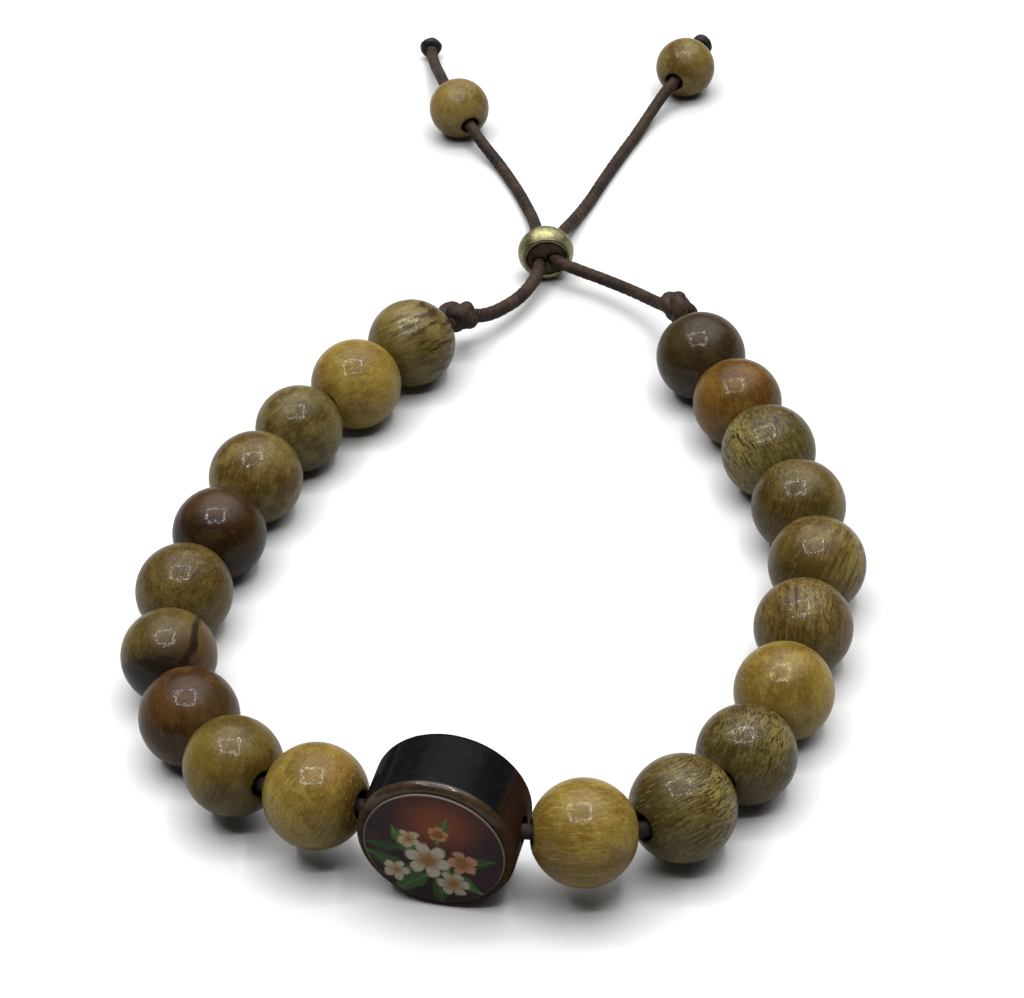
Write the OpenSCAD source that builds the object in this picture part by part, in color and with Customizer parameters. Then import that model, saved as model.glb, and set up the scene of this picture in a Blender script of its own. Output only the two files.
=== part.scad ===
// Wooden bead bracelet lying on a table: twenty drilled beads and a round picture tablet on one
// waxed cord, whose two ends run through a brass slide bead to a small end bead each.
// +X is to the right, +Y towards the slide bead, +Z up; the table is at z = 0.

/* [Main beads] */
// Nominal diameter of a main bead
bead_d = 8; // [7.9:0.05:8.1]
// Diameter of the hole through a main bead
bead_bore = 2.1; // [2:0.05:2.15]
// Width of the small flat around the hole of a main bead
bead_flat = 2.2; // [2.15:0.05:2.6]
// Space between two neighbouring main beads
bead_gap = 0.1; // [0.05:0.05:0.2]

/* [Picture tablet] */
// Diameter of the tablet, which stands on its rim
tablet_d = 12.2; // [12.1:0.05:12.3]
// Thickness of the tablet
tablet_t = 6.1; // [5.5:0.1:6.5]
// Radius of the rounded edge between the rim and either face
tablet_edge = 0.6; // [0.4:0.1:0.9]
// Space between the tablet's rim and the bead on either side
tablet_gap = 0.3; // [0.3:0.05:0.4]
// Thickness of the printed picture on the tablet's face
picture_t = 0.15; // [0.1:0.05:0.3]

/* [Slide bead] */
// Outer diameter of the slide bead
slide_d = 5.5; // [5.3:0.05:5.5]
// Diameter of the hole that both cord ends pass
slide_hole = 3.8; // [3.7:0.05:3.9]
// Length of the slide bead along its hole
slide_len = 2.7; // [2.5:0.1:2.8]

/* [Cord ends] */
// Diameter of the waxed cord
cord_d = 1.2; // [1:0.05:1.25]
// Diameter of the overhand knot behind the last bead of each side
knot_d = 3.4; // [3.3:0.05:3.5]
// Diameter of the small bead on each cord end
end_bead_d = 6.3; // [6.2:0.05:6.3]
// Width of the flat around the hole of an end bead
end_bead_flat = 2.6; // [2.2:0.1:3]
// Width of the melted lump that closes each cord end
melt_d = 2.5; // [2.3:0.05:2.5]
// Thickness of the melted lump
melt_t = 1.3; // [1.1:0.05:1.3]

/* [Hidden] */
BEADS = [1:10];
$fn = 48;

// Wood tones, from light to dark
honey = "#a8903f";
golden = "#8f7c3c";
olive = "#7d6d3b";
tan = "#847546";
orange = "#7c5a33";
umber = "#5f5138";
russet = "#5a3f2c";
lacquer = "#1d1512";
brass = "#a39a5c";
cord_brown = "#40322b";
char = "#161514";
print_red = "#3a2226";

// One row per main bead, walked outward from the tablet. OVER is what the bead measures over
// bead_d, HEADING the direction in degrees of the step that leads to it, LIFT how far it hangs
// above the table beside the taller tablet, and TONE the colour of its wood.
OVER = 0;
HEADING = 1;
LIFT = 2;
TONE = 3;
left_rows = [
    [0.2, 151, 1.6, honey],
    [-0.1, 144, 1.0, olive],
    [0.1, 119, 0.0, russet],
    [-0.1, 105, 0.0, golden],
    [0.2, 84, 0.0, golden],
    [0.1, 71, 0.0, russet],
    [0.3, 69, 0.0, golden],
    [-0.1, 63, 0.0, olive],
    [0.3, 50, 0.0, honey],
    [0.2, 50, 0.0, olive]
];
right_rows = [
    [0.2, -7, 1.8, honey],
    [0.3, 23, 0.5, umber],
    [-0.1, 48, 0.1, umber],
    [0.0, 62, 0.0, honey],
    [0.1, 72, 0.0, tan],
    [0.2, 75, 0.0, tan],
    [0.1, 94, 0.0, olive],
    [0.3, 102, 0.0, tan],
    [0.0, 104, 0.0, orange],
    [0.2, 109, 0.0, umber]
];

// The tablet's middle, and the direction of its hole towards the right-hand beads
tablet_at = [-4.75, -38.65, tablet_d / 2];
tablet_turn = -16;

// The slide bead's middle; its hole runs along Y
slide_at = [6.7, 43.65, slide_d / 2];

// End beads: middle, and the direction and rise in degrees of the hole
end_left_at = [-1.1, 72.45, end_bead_d / 2];
end_left_dir = [112, 14];
end_right_at = [23.55, 78.1, end_bead_d / 2];
end_right_dir = [60, 6];
end_bead_bore = 1.9;

// Route of each cord end, from the middle of its knot to the middle of its melted lump:
// down to the slide bead, through its hole, along the table, up through the end bead and out
knot_left_at = [-2.0, 31.6, 3.8];
knot_right_at = [18.7, 28.7, 4.8];
left_route = [
    knot_left_at,
    [0.4, 33.5, 2.6], [1.8, 34.8, 2.2], [3.8, 37.2, 1.9], [5.2, 39.7, 1.9], [5.8, 41.4, 2.1],
    [5.95, 42.6, 2.2], [5.95, 45.2, 2.2],
    [6.0, 48.4, 1.6], [5.9, 51.6, 1.1], [5.5, 54.4, 0.75], [4.7, 58.0, 0.65], [3.8, 61.2, 0.65],
    [2.7, 64.4, 0.8], [1.2, 67.4, 1.5],
    [-0.06, 69.87, 2.46], [-2.14, 75.03, 3.84],
    [-2.7, 77.6, 3.7], [-3.0, 80.2, 3.0], [-3.3, 82.8, 2.2], [-3.6, 85.4, 1.6], [-3.8, 87.4, 1.3],
    [-3.95, 89.7, 1.3]
];
right_route = [
    knot_right_at,
    [17.4, 31.3, 3.8], [16.5, 33.1, 3.2], [14.5, 36.1, 2.6], [11.9, 38.9, 2.3], [9.9, 40.4, 2.4],
    [8.3, 41.5, 2.6],
    [7.45, 42.8, 2.6], [7.4, 45.2, 2.5],
    [8.6, 48.8, 1.7], [10.0, 52.2, 1.0], [11.7, 56.0, 0.65], [13.6, 60.4, 0.65],
    [15.6, 64.8, 0.65], [17.4, 68.4, 0.8], [19.2, 71.8, 1.3], [20.9, 74.3, 2.2],
    [22.12, 75.63, 2.85], [24.98, 80.57, 3.45],
    [25.65, 82.2, 3.45]
];

// Where a cord ends on a knot or a melted lump, a hair's gap is left between the two
hair = 0.02;
knot_flat = 1.35;
melt_edge = melt_t / 2 - 0.1;
picture_gap = 0.05;
picture_margin = 0.1;
picture_d = tablet_d - 2 * tablet_edge - 2 * picture_margin;
// Radius of the rounded lip around either mouth of the slide bead
slide_lip = 0.2;
cord_sides = 8;
knot_sides = 12;

// Vectors
function unit(v) = v / norm(v);
function flat_dir(heading) = [cos(heading), sin(heading)];
function half_flat(d, flat) = sqrt(d * d - flat * flat) / 2;

// How far a bead reaches along a line that leans away from its hole by some degrees
function reach(d, lean) =
    abs(lean) > asin(bead_flat / d)
        ? d / 2
        : half_flat(d, bead_flat) * cos(lean) + bead_flat / 2 * sin(abs(lean));

// A side's beads, in walking order. side is 1 to the right of the tablet and -1 to its left.
function bead_size(row) = bead_d + row[OVER];
function bead_height(row) = bead_size(row) / 2 + row[LIFT];
function tablet_dir(side) = tablet_turn + (side > 0 ? 0 : 180);
function tablet_mouth(side) = tablet_at + tablet_d / 2 * concat(flat_dir(tablet_dir(side)), [0]);

// The hole of a bead runs halfway between the cord's way in and its way out
function bore_heading(rows, i, side) =
    let (way_in = i == 0 ? tablet_dir(side) : rows[i][HEADING])
    let (way_out = rows[min(i + 1, len(rows) - 1)][HEADING])
    (way_in + way_out) / 2;

function first_step(rows) =
    (bead_size(rows[0]) / 2 + tablet_gap) * flat_dir(rows[0][HEADING]);
function next_step(rows, i, side) =
    let (heading = rows[i][HEADING])
    let (from = reach(bead_size(rows[i - 1]), heading - bore_heading(rows, i - 1, side)))
    let (to = reach(bead_size(rows[i]), heading - bore_heading(rows, i, side)))
    let (rise = bead_height(rows[i]) - bead_height(rows[i - 1]))
    sqrt(pow(from + to + bead_gap, 2) - rise * rise) * flat_dir(heading);
function walk(rows, side) = [
    for (i = 0, at = [tablet_mouth(side).x, tablet_mouth(side).y] + first_step(rows);
         i < len(rows);
         i = i + 1, at = i < len(rows) ? at + next_step(rows, i, side) : at)
    [at.x, at.y, bead_height(rows[i])]
];
left_at = walk(left_rows, -1);
right_at = walk(right_rows, 1);

// Direction of a bead's hole in space, outward from the tablet; it rises and falls with the cord
function bore_dir(rows, places, i, side, knot_at) =
    let (before = i == 0 ? tablet_mouth(side) : places[i - 1])
    let (after = i == len(rows) - 1 ? knot_at : places[i + 1])
    let (run = norm([after.x - before.x, after.y - before.y]))
    let (way = flat_dir(bore_heading(rows, i, side)))
    unit([way.x, way.y, (after.z - before.z) / run]);
function bore_dirs(rows, places, side, knot_at) =
    [for (i = [0:len(rows) - 1]) bore_dir(rows, places, i, side, knot_at)];
left_dirs = bore_dirs(left_rows, left_at, -1, knot_left_at);
right_dirs = bore_dirs(right_rows, right_at, 1, knot_right_at);

// Where the cord leaves a bead on its outer side, enters it on its inner side, and where it
// crosses from one bead to the next
function mouth_out(rows, places, dirs, i) =
    places[i] + half_flat(bead_size(rows[i]), bead_flat) * dirs[i];
function mouth_in(rows, places, dirs, i) =
    places[i] - half_flat(bead_size(rows[i]), bead_flat) * dirs[i];
function last_mouth(rows, places, dirs) = mouth_out(rows, places, dirs, len(rows) - 1);
function crossing(rows, places, dirs, i) =
    (mouth_out(rows, places, dirs, i) + mouth_in(rows, places, dirs, i + 1)) / 2;
function side_route(rows, places, dirs, side, knot_at) =
    let (last = last_mouth(rows, places, dirs))
    concat(
        [(tablet_mouth(side) + mouth_in(rows, places, dirs, 0)) / 2],
        [for (i = [0:len(rows) - 2]) crossing(rows, places, dirs, i)],
        [last, knot_at + (knot_flat + hair) * unit(last - knot_at)]
    );
left_thread = side_route(left_rows, left_at, left_dirs, -1, knot_left_at);
right_thread = side_route(right_rows, right_at, right_dirs, 1, knot_right_at);

// Cords: rings of cord_sides points square to the route, joined into one tube
function reversed(list) = [for (i = [len(list) - 1:-1:0]) list[i]];
function travel(route, i) = unit(route[min(i + 1, len(route) - 1)] - route[max(i - 1, 0)]);
function ring(at, way) =
    let (across = unit(cross(way, [0, 0, 1])))
    let (up = cross(across, way))
    [for (k = [0:cord_sides - 1])
        let (a = 360 * k / cord_sides)
        at + cord_d / 2 * (cos(a) * across + sin(a) * up)];
module tube(route) {
    n = len(route);
    points = [for (i = [0:n - 1]) each ring(route[i], travel(route, i))];
    sides = [
        for (i = [0:n - 2], k = [0:cord_sides - 1])
            let (a = i * cord_sides + k)
            let (b = i * cord_sides + (k + 1) % cord_sides)
            each [[a, b, b + cord_sides], [a, b + cord_sides, a + cord_sides]]
    ];
    start = [for (k = [cord_sides - 1:-1:0]) k];
    end = [for (k = [0:cord_sides - 1]) (n - 1) * cord_sides + k];
    polyhedron(points = points, faces = concat([start], sides, [end]));
}
// A route that starts at the knot's flat and ends at the melted lump's flat
function trimmed(route) =
    let (n = len(route))
    concat(
        [route[0] + (knot_flat + hair) * unit(route[1] - route[0])],
        [for (i = [1:n - 2]) route[i]],
        [route[n - 1] - (melt_t / 2 + hair) * unit(route[n - 1] - route[n - 2])]
    );

// Turns the X axis to a direction
module along(way) {
    rotate([0, -asin(way.z), atan2(way.y, way.x)]) children();
}
// A disc about X with rounded edges
module rounded_disc(d, t, edge) {
    rotate([0, 90, 0])
        rotate_extrude() {
            translate([0, -t / 2]) square([d / 2 - edge, t]);
            if (t > 2 * edge) translate([0, edge - t / 2]) square([d / 2, t - 2 * edge]);
            for (side = [-1, 1])
                translate([d / 2 - edge, side * (t / 2 - edge)]) circle(r = edge);
        }
}
// A bead about X: a ball with a flat around each end of its hole
module drilled_bead(d, flat, bore) {
    rotate([0, 90, 0])
        rotate_extrude()
            intersection() {
                circle(d = d);
                translate([bore / 2, -half_flat(d, flat)]) square([d, 2 * half_flat(d, flat)]);
            }
}

module main_bead(rows, places, dirs, i) {
    color(rows[i][TONE])
        translate(places[i]) along(dirs[i]) drilled_bead(bead_size(rows[i]), bead_flat, bead_bore);
}
module tablet_frame() {
    translate(tablet_at) rotate([0, 0, tablet_turn]) children();
}
module picture_tablet() {
    color(lacquer)
        tablet_frame()
            difference() {
                rotate([0, 0, -90]) rounded_disc(tablet_d, tablet_t, tablet_edge);
                rotate([0, 90, 0]) cylinder(d = bead_bore, h = tablet_d + 1, center = true);
            }
}
module picture() {
    color(print_red)
        tablet_frame()
            translate([0, -(tablet_t / 2 + picture_gap), 0])
                rotate([90, 0, 0]) cylinder(d = picture_d, h = picture_t);
}
module bead_cord() {
    color(cord_brown) tube(concat(reversed(left_thread), right_thread));
}
module slide_bead() {
    hole_r = slide_hole / 2;
    body_len = slide_len - 3 * slide_lip;
    bulge = slide_d / 2 - hole_r - 2 * slide_lip;
    bulge_r = (pow(body_len / 2, 2) + bulge * bulge) / (2 * bulge);
    color(brass)
        translate(slide_at)
            rotate([90, 0, 0])
                rotate_extrude() {
                    intersection() {
                        translate([slide_d / 2 - bulge_r, 0]) circle(r = bulge_r);
                        translate([hole_r, -body_len / 2]) square([slide_d, body_len]);
                    }
                    for (side = [-1, 1])
                        translate([hole_r + slide_lip, side * (slide_len / 2 - slide_lip)])
                            circle(r = slide_lip);
                    translate([hole_r, slide_lip - slide_len / 2])
                        square([slide_lip, slide_len - 2 * slide_lip]);
                }
}
module knot(at, bead_side, tail_side) {
    color(cord_brown)
        difference() {
            translate(at) sphere(d = knot_d, $fn = knot_sides);
            for (way = [unit(bead_side - at), unit(tail_side - at)])
                translate(at) along(way)
                    translate([knot_flat, -knot_d, -knot_d]) cube(2 * knot_d);
        }
}
module cord_end(route) {
    color(cord_brown) tube(trimmed(route));
}
module end_bead(at, dir) {
    color(golden)
        translate(at)
            along([cos(dir[0]) * cos(dir[1]), sin(dir[0]) * cos(dir[1]), sin(dir[1])])
                drilled_bead(end_bead_d, end_bead_flat, end_bead_bore);
}
module melted_end(route) {
    n = len(route);
    color(char)
        translate(route[n - 1])
            along(unit(route[n - 1] - route[n - 2]))
                rounded_disc(melt_d, melt_t, melt_edge);
}

for (i = BEADS) {
    main_bead(left_rows, left_at, left_dirs, i - 1);
    main_bead(right_rows, right_at, right_dirs, i - 1);
}
picture_tablet();
picture();
bead_cord();
slide_bead();
knot(knot_left_at, last_mouth(left_rows, left_at, left_dirs), left_route[1]);  // knot_left
knot(knot_right_at, last_mouth(right_rows, right_at, right_dirs), right_route[1]);  // knot_right
cord_end(left_route);  // cord_end_left
cord_end(right_route);  // cord_end_right
end_bead(end_left_at, end_left_dir);  // end_bead_left
end_bead(end_right_at, end_right_dir);  // end_bead_right
melted_end(left_route);  // melted_end_left
melted_end(right_route);  // melted_end_right
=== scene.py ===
"""The looks of the wooden bead bracelet: beads, tablet, cords, knots, slide bead, floor and light.

Lengths are millimetres in the CAD's frame unless a comment says otherwise; MM turns them to metres.
Colours are six hex digits, and the floor's greys are linear numbers.
"""

import math
from collections import namedtuple

import bmesh
import bpy
import numpy as np
from mathutils import Matrix, Vector, noise


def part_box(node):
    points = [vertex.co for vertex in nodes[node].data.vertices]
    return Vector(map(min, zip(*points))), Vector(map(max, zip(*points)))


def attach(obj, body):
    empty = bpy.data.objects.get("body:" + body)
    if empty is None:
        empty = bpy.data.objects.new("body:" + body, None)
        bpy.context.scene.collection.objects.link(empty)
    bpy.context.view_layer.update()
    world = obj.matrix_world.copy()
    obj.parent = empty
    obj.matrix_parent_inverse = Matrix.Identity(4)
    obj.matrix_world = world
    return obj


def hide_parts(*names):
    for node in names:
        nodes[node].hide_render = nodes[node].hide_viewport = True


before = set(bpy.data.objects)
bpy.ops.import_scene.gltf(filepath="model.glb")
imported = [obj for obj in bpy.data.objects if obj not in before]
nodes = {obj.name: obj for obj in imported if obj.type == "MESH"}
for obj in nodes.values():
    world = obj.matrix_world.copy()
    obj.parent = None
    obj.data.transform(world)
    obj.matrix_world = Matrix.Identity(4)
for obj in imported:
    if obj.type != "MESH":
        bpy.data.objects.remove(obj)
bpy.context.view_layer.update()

MM = 0.001
ROOT = "root"


# Camera: where it stands, how far it looks down, how far it is rolled, its focal length and
# sensor, and how many metres in front of it the picture starts
CAMERA_AT = Vector((1.79, -189.7, 151.93)) * MM
CAMERA_DOWN = math.radians(37.577)
CAMERA_ROLL = math.radians(-3.74)
CAMERA_LENS = 98.44
CAMERA_SENSOR = 36.0
CAMERA_START = 0.01


def camera_axes():
    """Image right, image up and the way towards the camera, as directions in space."""
    right = Vector((1, 0, 0))
    up = Vector((0, math.sin(CAMERA_DOWN), math.cos(CAMERA_DOWN)))
    back = Vector((0, -math.cos(CAMERA_DOWN), math.sin(CAMERA_DOWN)))
    turn = Matrix.Rotation(CAMERA_ROLL, 3, back)
    return turn @ right, turn @ up, back


# The photo's right, up and near directions also place grain and marks on the beads
RIGHT, UP, NEAR = camera_axes()


def add_camera():
    data = bpy.data.cameras.new("camera")
    data.lens = CAMERA_LENS
    data.sensor_width = CAMERA_SENSOR
    data.clip_start = CAMERA_START
    camera = bpy.data.objects.new("camera", data)
    bpy.context.scene.collection.objects.link(camera)
    camera.matrix_world = Matrix.Translation(CAMERA_AT) @ Matrix((RIGHT, UP, NEAR)).transposed().to_4x4()
    bpy.context.scene.camera = camera


add_camera()


# Colours and meshes
def linear(hex_colour, times=1.0):
    """A colour written as six hex digits, as the linear colour that shaders read."""
    parts = [int(hex_colour[i:i + 2], 16) / 255 for i in (0, 2, 4)]
    return [times * (c / 12.92 if c < 0.04045 else ((c + 0.055) / 1.055) ** 2.4) for c in parts] + [1.0]


def add_piece(name, points, faces, material, numbers=()):
    """A smooth mesh piece that rides on the one body. numbers are per-point values: (name, list)."""
    mesh = bpy.data.meshes.new(name)
    mesh.from_pydata([point * MM for point in points], [], faces)
    bm = bmesh.new()
    bm.from_mesh(mesh)
    bmesh.ops.recalc_face_normals(bm, faces=bm.faces)
    bm.to_mesh(mesh)
    bm.free()
    for title, values in numbers:
        mesh.attributes.new(title, "FLOAT", "POINT").data.foreach_set("value", values)
    mesh.polygons.foreach_set("use_smooth", [True] * len(mesh.polygons))
    mesh.materials.append(material)
    piece = bpy.data.objects.new(name, mesh)
    bpy.context.scene.collection.objects.link(piece)
    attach(piece, ROOT)
    return piece


def ring_faces(rings, sides, closed=False):
    """Quads between neighbouring rings of sides points each."""
    faces = []
    for i in range(rings if closed else rings - 1):
        a, b = i * sides, (i + 1) % rings * sides
        for k in range(sides):
            n = (k + 1) % sides
            faces.append((a + k, a + n, b + n, b + k))
    return faces


def square_to(way):
    """Two directions square to a way and to each other."""
    across = way.cross(Vector((0, 0, 1))).normalized()
    return across, across.cross(way)


# Shaders
class Look:
    """A node material. Most of its methods add nodes and give back what comes out of the last."""

    def __init__(self, name):
        self.material = bpy.data.materials.new(name)
        self.material.use_nodes = True
        self.tree = self.material.node_tree
        self.tree.nodes.clear()
        self.skin = self.tree.nodes.new("ShaderNodeBsdfPrincipled")
        out = self.tree.nodes.new("ShaderNodeOutputMaterial")
        self.tree.links.new(self.skin.outputs[0], out.inputs["Surface"])

    def feed(self, socket, value):
        """Links another node's output to a socket, or writes a plain value there."""
        if isinstance(value, bpy.types.NodeSocket):
            self.tree.links.new(value, socket)
        else:
            socket.default_value = value

    def add(self, kind, inputs, output=0, **settings):
        """One node of a kind, with its inputs fed by name or number and its settings made."""
        node = self.tree.nodes.new("ShaderNode" + kind)
        for title, value in settings.items():
            setattr(node, title, value)
        for key, value in inputs.items():
            self.feed(node.inputs[key], value)
        return node.outputs[output]

    def set(self, **values):
        """Feeds the skin's own inputs, whose names have spaces where values have underscores."""
        for title, value in values.items():
            self.feed(self.skin.inputs[title.replace("_", " ")], value)

    def place(self):
        """Where a point is in the CAD's frame, in metres."""
        return self.add("TexCoord", {}, output="Object")

    def number(self, title):
        """A value that is stored on the mesh's points."""
        return self.add("Attribute", {}, output="Fac", attribute_name=title)

    def seen_from(self, centre, axes, unit):
        """Where a point is from a centre, along three axes, in units of some millimetres."""
        rows = Matrix(axes)
        size = 1 / (unit * MM)
        shift = rows @ centre * (-1 / unit)
        return self.add("Mapping", {"Vector": self.place(), "Location": shift,
                                    "Rotation": rows.to_euler("XYZ"), "Scale": (size, size, size)})

    def scaled(self, vector, scale, shift=(0, 0, 0)):
        """A frame scaled along each axis and then shifted."""
        return self.add("Mapping", {"Vector": vector, "Scale": scale, "Location": shift})

    def laid(self, vector, x, y, turn):
        """A flat frame with its middle at x, y, turned by some degrees."""
        near = self.scaled(vector, (1, 1, 0), shift=(-x, -y, 0))
        return self.add("VectorRotate", {"Vector": near, "Angle": -math.radians(turn)},
                        rotation_type="Z_AXIS")

    def length(self, vector):
        """How far a point is from the middle of the frame that the vector is in."""
        return self.add("VectorMath", {0: vector}, output="Value", operation="LENGTH")

    def maths(self, operation, a, b=0.0):
        return self.add("Math", {0: a, 1: b}, operation=operation)

    def times(self, a, b):
        return self.maths("MULTIPLY", a, b)

    def noise(self, vector, scale, detail=2.0, roughness=0.5, output=0):
        return self.add("TexNoise", {"Vector": vector, "Scale": scale, "Detail": detail,
                                     "Roughness": roughness}, output=output)

    def bent(self, vector, scale, detail, reach):
        """A frame whose points a noise moves along each axis, by some of that axis's reach."""
        wander = self.noise(vector, scale, detail, output="Color")
        return self.add("VectorMath", {0: wander, 1: reach, 2: vector}, operation="MULTIPLY_ADD")

    def split(self, vector):
        """A vector's three numbers."""
        node = self.tree.nodes.new("ShaderNodeSeparateXYZ")
        self.feed(node.inputs[0], vector)
        return node.outputs[0], node.outputs[1], node.outputs[2]

    def step(self, value, low, high, start=0.0, end=1.0):
        """start at low, end at high, and a smooth change between them. low may be the greater."""
        return self.add("MapRange", {"Value": value, "From Min": low, "From Max": high,
                                     "To Min": start, "To Max": end},
                        interpolation_type="SMOOTHSTEP")

    def mix(self, share, a, b):
        return self.add("Mix", {0: share, 6: a, 7: b}, output=2, data_type="RGBA")

    def between(self, value, low, high, tones):
        """The first tone at low, the second at high, and a smooth change between them."""
        return self.mix(self.step(value, low, high), linear(tones[0]), linear(tones[1]))

    def bump(self, height, strength, distance):
        return self.add("Bump", {"Height": height, "Strength": strength, "Distance": distance * MM})


# Waxed cord: its strands make one turn in TWIST_MM, with grooves GROOVE of its radius deep. The
# fibre pattern changes FIBRES times round it.
CORD_D = 1.2
PLIES = 3
TWIST_MM = 2.8
GROOVE = 0.08
CORD_SIDES = 24
CORD_STEP = 0.18
SWELL_MM = 15.0
FIBRES = 6
# Lumps in its wax and finer fuzz: how high they stand, and how often they come
WAX_HIGH = 0.03
WAX_OFTEN = 4.5
FUZZ_HIGH = 0.02
FUZZ_ALONG = 11
FUZZ_AROUND = 5


def cord_look(name, light, dark):
    look = Look(name)
    place = look.place()
    fibre = look.noise(look.number("along_fibre"), 1.0, 3)
    patch = look.noise(place, 450, 3, 0.6)
    speck = look.noise(place, 2600, 2, 0.6)
    colour = look.between(patch, 0.3, 0.7, (dark, light))
    # Painted shade in the grooves between the strands
    colour = look.mix(look.times(look.number("groove"), 0.6), colour, linear(dark, 0.5))
    colour = look.mix(look.step(speck, 0.56, 0.7, 0, 0.4), colour, linear(light, 1.8))
    look.set(Base_Color=colour, Roughness=look.step(speck, 0.3, 0.7, 0.55, 0.75),
             Specular_IOR_Level=0.1)
    rough = look.maths("ADD", look.noise(place, 3500, 3, 0.7), look.times(fibre, 0.4))
    look.set(Normal=look.bump(rough, 0.5, 0.05))
    return look.material


def smooth_route(points, step):
    """Points a step apart on a smooth curve through the given ones."""
    ends = [2 * points[0] - points[1]] + points + [2 * points[-1] - points[-2]]
    found = []
    for a, b, c, d in zip(ends, ends[1:], ends[2:], ends[3:]):
        count = max(2, round((c - b).length / step))
        for k in range(count):
            t = k / count
            found.append(0.5 * (2 * b + (c - a) * t + (2 * a - 5 * b + 4 * c - d) * t * t
                                + (3 * b - a - 3 * c + d) * t ** 3))
    return found + [points[-1]]


def add_rope(name, points, material, d=CORD_D, swell=0.0):
    """A twisted cord of PLIES strands along a route, with a little fuzz, closed at both ends.

    It starts thicker by the share swell, which is gone after SWELL_MM.
    """
    route = smooth_route(points, CORD_STEP)
    count = len(route)
    ways = [(route[min(i + 1, count - 1)] - route[max(i - 1, 0)]).normalized() for i in range(count)]
    side, up = square_to(ways[0])
    rings, groove, fibre = [], [], []
    run = 0.0
    for i, (at, way) in enumerate(zip(route, ways)):
        if i:
            run += (at - route[i - 1]).length
            turn = ways[i - 1].rotation_difference(way)
            side, up = turn @ side, turn @ up
        thick = d * (1 + swell * max(0.0, 1 - run / SWELL_MM))
        for k in range(CORD_SIDES):
            angle = math.tau * k / CORD_SIDES
            lay = abs(math.cos(PLIES / 2 * (angle - math.tau * run / TWIST_MM)))
            deep = (1 - lay) ** 2
            out = math.cos(angle) * side + math.sin(angle) * up
            wax = WAX_HIGH * noise.noise(WAX_OFTEN * (at + out))
            fuzz = FUZZ_HIGH * noise.noise(FUZZ_ALONG * at + FUZZ_AROUND * out)
            rings.append(at + out * (thick / 2 * (1 - GROOVE * deep) + (wax + fuzz)))
            groove.append(deep)
            fibre.append(FIBRES * angle / math.tau + run)
    faces = ring_faces(count, CORD_SIDES)
    last = (count - 1) * CORD_SIDES
    faces.append(tuple(range(CORD_SIDES)))
    faces.append(tuple(range(last, last + CORD_SIDES)))
    return add_piece(name, rings, faces, material,
                     [("groove", groove), ("along_fibre", fibre)])


# Routes of the two cord ends, the same points as in the part's source. A route starts a HAIR from
# its knot's flat, KNOT_FLAT from the knot's middle, and ends a HAIR from a melted lump MELT_T thick.
KNOT_LEFT = Vector((-2.0, 31.6, 3.8))
KNOT_RIGHT = Vector((18.7, 28.7, 4.8))
KNOT_FLAT = 1.35
HAIR = 0.02
MELT_T = 1.3
MELT_D = 2.5
LEFT_SWELL = 0.16
LEFT_ROUTE = [
    (0.4, 33.5, 2.6), (1.8, 34.8, 2.2), (3.8, 37.2, 1.9), (5.2, 39.7, 1.9), (5.8, 41.4, 2.1),
    (5.95, 42.6, 2.2), (5.95, 45.2, 2.2),
    (6.0, 48.4, 1.6), (5.9, 51.6, 1.1), (5.5, 54.4, 0.75), (4.7, 58.0, 0.65), (3.8, 61.2, 0.65),
    (2.7, 64.4, 0.8), (1.2, 67.4, 1.5),
    (-0.06, 69.87, 2.46), (-2.14, 75.03, 3.84),
    (-2.7, 77.6, 3.7), (-3.0, 80.2, 3.0), (-3.3, 82.8, 2.2), (-3.6, 85.4, 1.6), (-3.8, 87.4, 1.3),
    (-3.95, 89.7, 1.3),
]
RIGHT_ROUTE = [
    (17.4, 31.3, 3.8), (16.5, 33.1, 3.2), (14.5, 36.1, 2.6), (11.9, 38.9, 2.3), (9.9, 40.4, 2.4),
    (8.3, 41.5, 2.6),
    (7.45, 42.8, 2.6), (7.4, 45.2, 2.5),
    (8.6, 48.8, 1.7), (10.0, 52.2, 1.0), (11.7, 56.0, 0.65), (13.6, 60.4, 0.65),
    (15.6, 64.8, 0.65), (17.4, 68.4, 0.8), (19.2, 71.8, 1.3), (20.9, 74.3, 2.2),
    (22.12, 75.63, 2.85), (24.98, 80.57, 3.45),
    (25.65, 82.2, 3.45),
]


def free_route(knot, points):
    """A cord end's centreline, from its knot's flat to its melted lump's flat."""
    route = [knot] + [Vector(point) for point in points]
    start = knot + (KNOT_FLAT + HAIR) * (route[1] - knot).normalized()
    end = route[-1] - (MELT_T / 2 + HAIR) * (route[-1] - route[-2]).normalized()
    return [start] + route[1:-1] + [end]


waxed = cord_look("waxed_cord_brown", "35281f", "1b1511")
# A darker copy of the same cord for the thread: painted shade for where it runs inside the beads' holes
shaded = cord_look("waxed_cord_shaded", "241b15", "120e0c")
left_route = free_route(KNOT_LEFT, LEFT_ROUTE)
right_route = free_route(KNOT_RIGHT, RIGHT_ROUTE)
left_cord = add_rope("waxed_end_left", left_route, waxed, swell=LEFT_SWELL)
right_cord = add_rope("waxed_end_right", right_route, waxed)
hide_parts("cord_end_left")
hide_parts("cord_end_right")


# Melted ends: a flat lump of burnt cord with a rounded, uneven rim and a rough skin. The powers
# round its section, the UNEVEN pairs say how wide and thick it is and how much a wave changes
# that, and the WAVE numbers how fast the wave runs around it, along it and from lump to lump.
CHAR_TONES = ("080707", "1f1c1a")
LUMP_ROWS = 20
LUMP_TURNS = 40
RIM_POWER = 0.6
FACE_POWER = 0.8
UNEVEN_WIDE = (0.93, 0.09)
UNEVEN_THICK = (0.94, 0.12)
WAVE_AROUND = 1.4
WAVE_ALONG = 2.2
WAVE_PLACE = 0.3
CAP_AT = 0.47


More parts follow.
